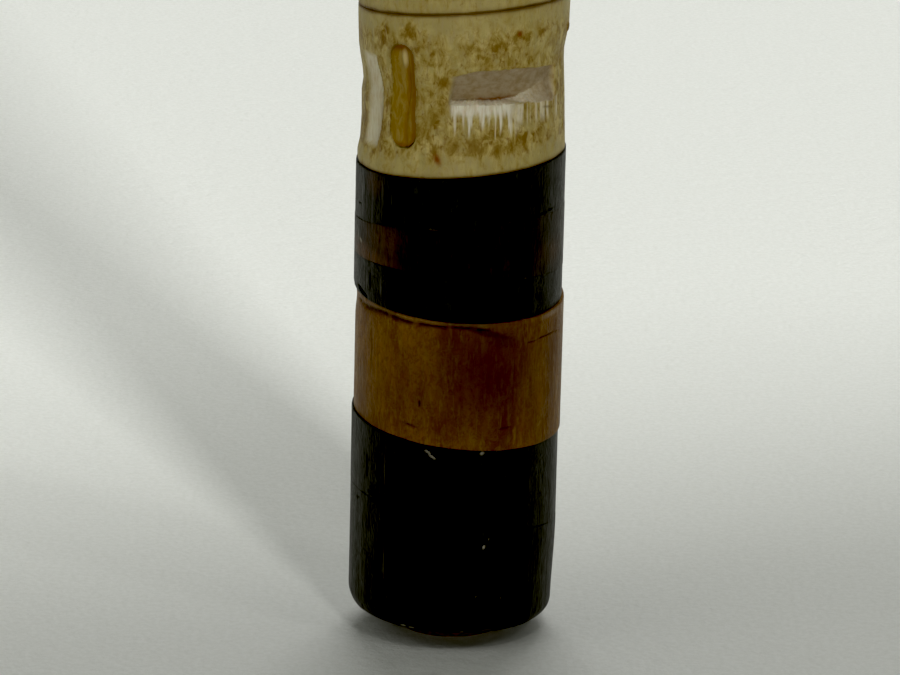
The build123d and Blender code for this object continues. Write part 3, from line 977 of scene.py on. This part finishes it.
# ---- resin in the first bead's slot ----
def resin_fill():
    """A shallow, dished fill with a painted highlight on a slight swelling near its top, closed behind."""
    node = "slot_resin"
    angle_here = slot_angles(0)[1]
    low, high = (corner.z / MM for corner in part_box(node))
    middle = (low + high) / 2
    half_length = (high - low) / 2
    outer = end_faces("vertebra_01", -1)[0].radius
    columns = 28
    rows = 90
    u, v = np.meshgrid(np.linspace(-1, 1, columns), np.linspace(-1, 1, rows))
    along = v * half_length
    half_width = resin_half_width(along, half_length)
    beyond = np.maximum(np.abs(along) - (half_length - half_width), 0.0)
    across = u * np.sqrt(np.maximum(half_width ** 2 - beyond ** 2, 0.0025))
    height = middle + along
    across = across - resin_wander(angle_here + np.degrees(across / outer), height)
    angle = angle_here + np.degrees(across / outer)
    line = across - 0.42 - 0.15 * np.sin(along * 0.9 + 0.6)
    dish = 0.10 * (1 - np.abs(u) ** 3) * (1 - np.abs(v) ** 6)
    # painted highlight: a pale blob on a slight swelling near the fill's top
    highlight_blob = Mark(angle_here + 1.6, 46.35, 0.35, 0.95, lean=-0.2, edge=0.8).share(angle, height, outer)
    ripple = 0.06 * rough_noise(angle, height, 50, 1.4, 91)
    surround = outer - first_bead_inset(angle, height)
    top = surround - 0.08 - dish - 0.10 * np.exp(-(line / 0.16) ** 2) + 0.14 * highlight_blob + ripple
    back = np.full_like(top, outer - SLOT_DEPTH - 0.05)
    streaks = noise(angle, height, 120, 1.6, 92)
    dark = 0.9 * np.exp(-(line / 0.22) ** 2) * (0.5 + 0.5 * streaks)
    dark = np.maximum(dark, smooth((v - 0.80) / 0.14))
    dark = np.maximum(dark, 0.9 * smooth((-v - 0.86) / 0.12))
    dark = np.maximum(dark, 0.75 * smooth((u - 0.45) / 0.35))
    dark = np.clip(dark, 0, 1) * (1 - highlight_blob)
    points = []
    for radius, width, length in ((top, 1.0, 1.0), (back, RESIN_BACK_WIDTH, RESIN_BACK_LENGTH)):
        turn = np.radians(angle_here + (angle - angle_here) * width)
        level = middle + along * length
        points.append(np.stack([radius * np.sin(turn), -radius * np.cos(turn), level], -1).reshape(-1, 3))
    cell = np.arange(rows * columns).reshape(rows, columns)
    front = np.stack([cell[:-1, :-1], cell[:-1, 1:], cell[1:, 1:], cell[1:, :-1]], -1).reshape(-1, 4)
    rim = np.concatenate([cell[0, :], cell[1:, -1], cell[-1, -2::-1], cell[-2:0:-1, 0]])
    rim_next = np.roll(rim, -1)
    behind = rows * columns
    wall = np.stack([rim, rim + behind, rim_next + behind, rim_next], -1)
    faces = np.concatenate([front, front[:, ::-1] + behind, wall])
    layers = {"dark": np.tile(dark.ravel(), 2), "white": np.tile(0.85 * highlight_blob.ravel(), 2)}
    piece = make_piece("slot_resin_look", [(np.concatenate(points), faces, layers)])
    adopt(piece, RESIN, node)


# ---- collar and handle ----
def collar_rings():
    grid = {"columns": 320, "row": 0.25}
    dress_ring("collar_black_lower", BLACK_HORN, "black_horn", 41, **grid)
    dress_ring("collar_amber", AMBER_HORN, "amber_horn", 42, **grid)
    dress_ring("collar_black_upper", BLACK_HORN, "black_horn", 43, **grid)


HANDLE_RISE = 5.0
HANDLE_BEND = 18.0


def handle_grain(point, base):
    """Coordinates that follow the handle: across, sideways, and along its centre line."""
    x, y, z = point
    bend_start = base + HANDLE_RISE * MM
    bend = HANDLE_BEND * MM
    if z < bend_start:
        return (x, y, z - base)
    from_centre = math.hypot(bend - x, z - bend_start)
    if x < bend:
        turn = math.atan2(z - bend_start, bend - x)
        return (bend - from_centre, y, HANDLE_RISE * MM + bend * turn)
    return (bend - (z - bend_start), y, HANDLE_RISE * MM + bend * math.pi / 2 + x - bend)


def keep_inside(mesh, source):
    """Wear only takes material away: points that smoothing moved outwards go back to the CAD surface."""
    corners = [vertex.co for vertex in source.vertices]
    surface = BVHTree.FromPolygons(corners, [tuple(face.vertices) for face in source.polygons])
    for vertex in mesh.vertices:
        nearest, normal, _, _ = surface.find_nearest(vertex.co)
        if (vertex.co - nearest).dot(normal) > 0:
            vertex.co = nearest


def soft_copy(node, voxel, rounds):
    """A fine, evenly meshed copy of a CAD node with its creases worn soft."""
    source = NODES[node]
    piece = add_object(node + "_look", source.data.copy())
    piece.data.materials.clear()
    remesh = piece.modifiers.new("even", "REMESH")
    remesh.mode = "VOXEL"
    remesh.voxel_size = voxel * MM
    worn = piece.modifiers.new("worn", "SMOOTH")
    worn.factor = 0.5
    worn.iterations = rounds
    depsgraph = bpy.context.evaluated_depsgraph_get()
    mesh = bpy.data.meshes.new_from_object(piece.evaluated_get(depsgraph))
    piece.modifiers.clear()
    piece.data = mesh
    keep_inside(mesh, source.data)
    mesh.polygons.foreach_set("use_smooth", np.ones(len(mesh.polygons), bool))
    return piece


def dress_handle(node, material, voxel, rounds, base):
    piece = soft_copy(node, voxel, rounds)
    mesh = piece.data
    grain = mesh.attributes.new("grain", "FLOAT_VECTOR", "POINT")
    values = [handle_grain(vertex.co, base) for vertex in mesh.vertices]
    grain.data.foreach_set("vector", np.array(values, np.float32).ravel())
    adopt(piece, material, node)


def dress_handles():
    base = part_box("handle")[0].z
    dress_handle("handle", HANDLE_HORN, 0.55, 4, base)
    dress_handle("nose_cap", CAP_HORN, 0.35, 3, base)


def hidden_parts():
    """The fixings inside keep their CAD meshes and get their own materials."""
    for node, material in (
        ("core_rod", STEEL), ("foot_nut", BRASS), ("foot_washer", BRASS),
        ("handle_bush", BRASS), ("nose_dowel", BRASS), ("foot_plug", PLUG_WOOD),
    ):
        NODES[node].data.materials.clear()
        NODES[node].data.materials.append(material)


# ---- camera ----
def photo_camera():
    """Looks down on the foot at the photograph's angle, rolled a little."""
    distance = 358.7 * MM
    tilt = math.radians(16.0)
    aim_height = 23.0 * MM
    side_step = -0.51 * MM
    roll = math.radians(1.3)
    data = bpy.data.cameras.new("camera")
    data.sensor_width = 36.0
    data.lens = 186.2
    data.clip_start = 0.01
    data.clip_end = 200.0
    camera = add_object("camera", data)
    camera.location = (side_step, -distance * math.cos(tilt), aim_height + distance * math.sin(tilt))
    camera.rotation_euler = (math.pi / 2 - tilt, 0, 0)
    camera.rotation_euler.rotate_axis("Z", roll)
    bpy.context.scene.camera = camera


# ---- floor and lights ----
def level_sheet(name, left, right, near, far, height):
    mesh = bpy.data.meshes.new(name)
    corners = [(left, near, height), (right, near, height), (right, far, height), (left, far, height)]
    mesh.from_pydata(corners, [], [(0, 1, 2, 3)])
    return add_object(name, mesh)


def floor():
    """A pale painted floor with a fine orange-peel surface."""
    reach = 60.0
    grey_white = (0.74, 0.755, 0.70)
    warm_white = (0.79, 0.805, 0.755)
    plane = level_sheet("floor", -reach, reach, -reach, reach, 0)
    s = Shader("floor_paint")
    speckle = s.noise(0.5, 0.5, 4.0, 0.7)
    peel = s.noise(1.6, 1.6, 3.0, 0.55, shift=4.0)
    colour = s.mix(s.ease(speckle, 0.35, 0.65), grey_white, warm_white)
    normal = s.bump(peel, 0.20, s.bump(speckle, 0.09))
    plane.data.materials.append(s.finish(colour, 0.6, normal, 0.3))


LAMP_DISTANCE = 3.0


def soft_light(name, azimuth, elevation, size, power):
    """A square softbox that faces the foot; azimuth 0 is the front, 90 is +X."""
    data = bpy.data.lights.new(name, "AREA")
    data.shape = "SQUARE"
    data.size = size
    data.energy = power
    light = add_object(name, data)
    turn = math.radians(azimuth)
    rise = math.radians(elevation)
    away = Vector((math.sin(turn) * math.cos(rise), -math.cos(turn) * math.cos(rise), math.sin(rise)))
    light.location = away * LAMP_DISTANCE
    light.rotation_euler = away.to_track_quat("Z", "Y").to_euler()
    light.visible_camera = False


def scrim():
    """A dark veil over the near floor, thickening towards the viewer, who stands in the light."""
    height = 0.20
    clear = -0.055
    dark = -0.12
    slant = 0.3
    thickest = 0.86
    left, right, near, far = -0.6, 0.9, -1.2, -0.02
    start = 0.02
    near_fade = 0.75
    left_fade = 0.32
    right_fade = 0.60
    black = (0.01, 0.01, 0.01, 1)
    veil = level_sheet("scrim", left, right, near, far, height)
    s = Shader("scrim_cloth")
    place = s.add("SeparateXYZ")
    s.link(s.here, place.inputs["Vector"])
    x, y, _ = place.outputs
    depth = s.plus(y, s.times(x, -slant))
    cover = s.times(s.ease(depth, clear, dark), thickest)
    cover = s.times(cover, s.ease(y, near + start, near + near_fade))
    cover = s.times(cover, s.ease(x, left + start, left + left_fade))
    cover = s.times(cover, s.ease(x, right - start, right - right_fade))
    s.link(cover, s.surface.inputs["Alpha"])
    veil.data.materials.append(s.finish(black, 1.0, s.bump(s.noise(1.0, 1.0), 0.1), 0.0))
    veil.visible_camera = False


def surroundings():
    """A pale room, dimmer on the side where the viewer stands. Behind the object it is seen brighter than
    it shines."""
    dim_side = 0.12
    bright_side = 0.24
    seen = 0.72
    world = bpy.data.worlds.new("world")
    bpy.context.scene.world = world
    world.use_nodes = True
    tree = world.node_tree
    sky = tree.nodes["Background"]
    coordinates = tree.nodes.new("ShaderNodeTexCoord")
    parts = tree.nodes.new("ShaderNodeSeparateXYZ")
    tree.links.new(coordinates.outputs["Generated"], parts.inputs["Vector"])
    range_node = tree.nodes.new("ShaderNodeMapRange")
    range_node.interpolation_type = "SMOOTHSTEP"
    set_inputs(range_node, {"From Min": -0.9, "From Max": 0.5, "To Min": dim_side, "To Max": bright_side})
    tree.links.new(parts.outputs["Y"], range_node.inputs["Value"])
    path = tree.nodes.new("ShaderNodeLightPath")
    choose = tree.nodes.new("ShaderNodeMix")
    tree.links.new(path.outputs["Is Camera Ray"], choose.inputs["Factor"])
    tree.links.new(range_node.outputs["Result"], choose.inputs[2])
    choose.inputs[3].default_value = seen
    tree.links.new(choose.outputs[0], sky.inputs["Strength"])
    sky.inputs["Color"].default_value = (0.97, 1.0, 0.95, 1)


def grade():
    """Deep blacks, as in the photograph."""
    view = bpy.context.scene.view_settings
    view.view_transform = "Standard"
    view.use_curve_mapping = True
    view.curve_mapping.black_level = (0.0138, 0.0145, 0.018)
    view.curve_mapping.update()


foot_tip()
foot_rings()
dress_beads()
resin_fill()
collar_rings()
dress_handles()
hidden_parts()
floor()
scrim()
photo_camera()
soft_light("key", 20, 62, 0.18, 33)
soft_light("side_key", 55, 48, 0.26, 27)
soft_light("left_fill", -55, 42, 1.6, 7)
soft_light("back_window", 176, 45, 1.8, 30)
soft_light("low_front", 4, 4, 0.5, 21)
surroundings()
grade()
